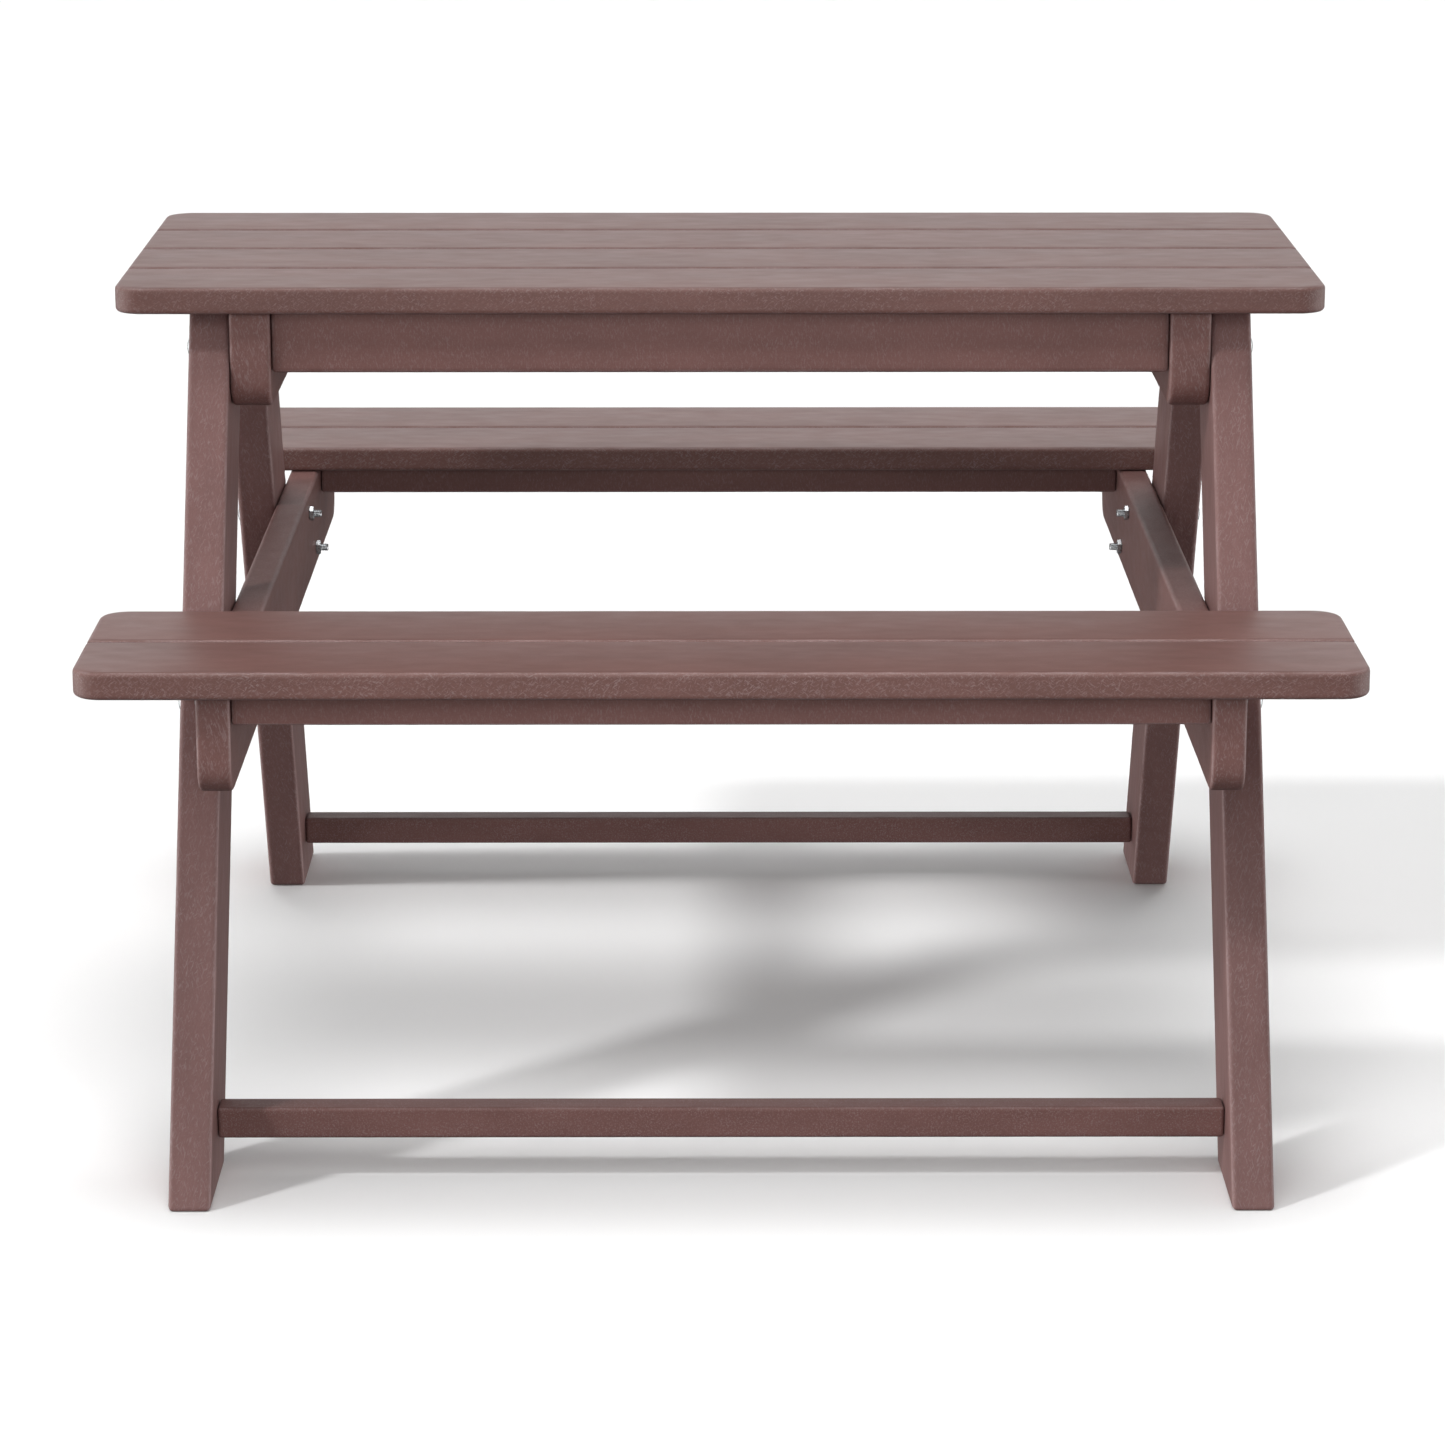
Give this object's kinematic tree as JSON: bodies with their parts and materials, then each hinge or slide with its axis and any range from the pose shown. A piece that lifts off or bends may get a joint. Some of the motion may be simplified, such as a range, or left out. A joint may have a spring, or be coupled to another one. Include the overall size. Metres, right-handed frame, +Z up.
{
  "type": "picnic table",
  "caption": "Compact picnic table with attached benches, in brown recycled-plastic lumber on bolted A-frame legs.",
  "frame": {"origin": "on the ground, under the middle of the tabletop", "axes": "+X along the boards to the right, +Y from the front bench to the rear bench, +Z up"},
  "size_m": [0.853, 0.939, 0.591],
  "materials": {
    "top_lumber": "moulded recycled plastic, fine pale flecks",
    "seat_lumber": "moulded recycled plastic, fine pale flecks",
    "leg_lumber": "moulded recycled plastic, fine pale flecks",
    "frame_lumber": "moulded recycled plastic, fine pale flecks",
    "zinc_steel": "bright zinc plating"
  },
  "bodies": {
    "root": {"front_foot_stretcher": "frame_lumber", "front_inner_seat_bar": "frame_lumber", "front_inner_seat_board": "seat_lumber", "front_inner_top_board": "top_lumber", "front_left_batten_bolt_lower": "zinc_steel", "front_left_batten_bolt_upper": "zinc_steel", "front_left_batten_nut_lower": "zinc_steel", "front_left_batten_nut_upper": "zinc_steel", "front_left_leg": "leg_lumber", "front_left_rail_bolt_lower": "zinc_steel", "front_left_rail_bolt_upper": "zinc_steel", "front_left_rail_nut_lower": "zinc_steel", "front_left_rail_nut_upper": "zinc_steel", "front_outer_seat_bar": "frame_lumber", "front_outer_seat_board": "seat_lumber", "front_outer_top_board": "top_lumber", "front_right_batten_bolt_lower": "zinc_steel", "front_right_batten_bolt_upper": "zinc_steel", "front_right_batten_nut_lower": "zinc_steel", "front_right_batten_nut_upper": "zinc_steel", "front_right_leg": "leg_lumber", "front_right_rail_bolt_lower": "zinc_steel", "front_right_rail_bolt_upper": "zinc_steel", "front_right_rail_nut_lower": "zinc_steel", "front_right_rail_nut_upper": "zinc_steel", "front_table_apron": "frame_lumber", "left_seat_rail": "frame_lumber", "left_top_batten": "frame_lumber", "middle_top_cleat": "frame_lumber", "rear_foot_stretcher": "frame_lumber", "rear_inner_seat_bar": "frame_lumber", "rear_inner_seat_board": "seat_lumber", "rear_inner_top_board": "top_lumber", "rear_left_batten_bolt_lower": "zinc_steel", "rear_left_batten_bolt_upper": "zinc_steel", "rear_left_batten_nut_lower": "zinc_steel", "rear_left_batten_nut_upper": "zinc_steel", "rear_left_leg": "leg_lumber", "rear_left_rail_bolt_lower": "zinc_steel", "rear_left_rail_bolt_upper": "zinc_steel", "rear_left_rail_nut_lower": "zinc_steel", "rear_left_rail_nut_upper": "zinc_steel", "rear_outer_seat_bar": "frame_lumber", "rear_outer_seat_board": "seat_lumber", "rear_outer_top_board": "top_lumber", "rear_right_batten_bolt_lower": "zinc_steel", "rear_right_batten_bolt_upper": "zinc_steel", "rear_right_batten_nut_lower": "zinc_steel", "rear_right_batten_nut_upper": "zinc_steel", "rear_right_leg": "leg_lumber", "rear_right_rail_bolt_lower": "zinc_steel", "rear_right_rail_bolt_upper": "zinc_steel", "rear_right_rail_nut_lower": "zinc_steel", "rear_right_rail_nut_upper": "zinc_steel", "rear_table_apron": "frame_lumber", "right_seat_rail": "frame_lumber", "right_top_batten": "frame_lumber"}
  },
  "joints": []
}
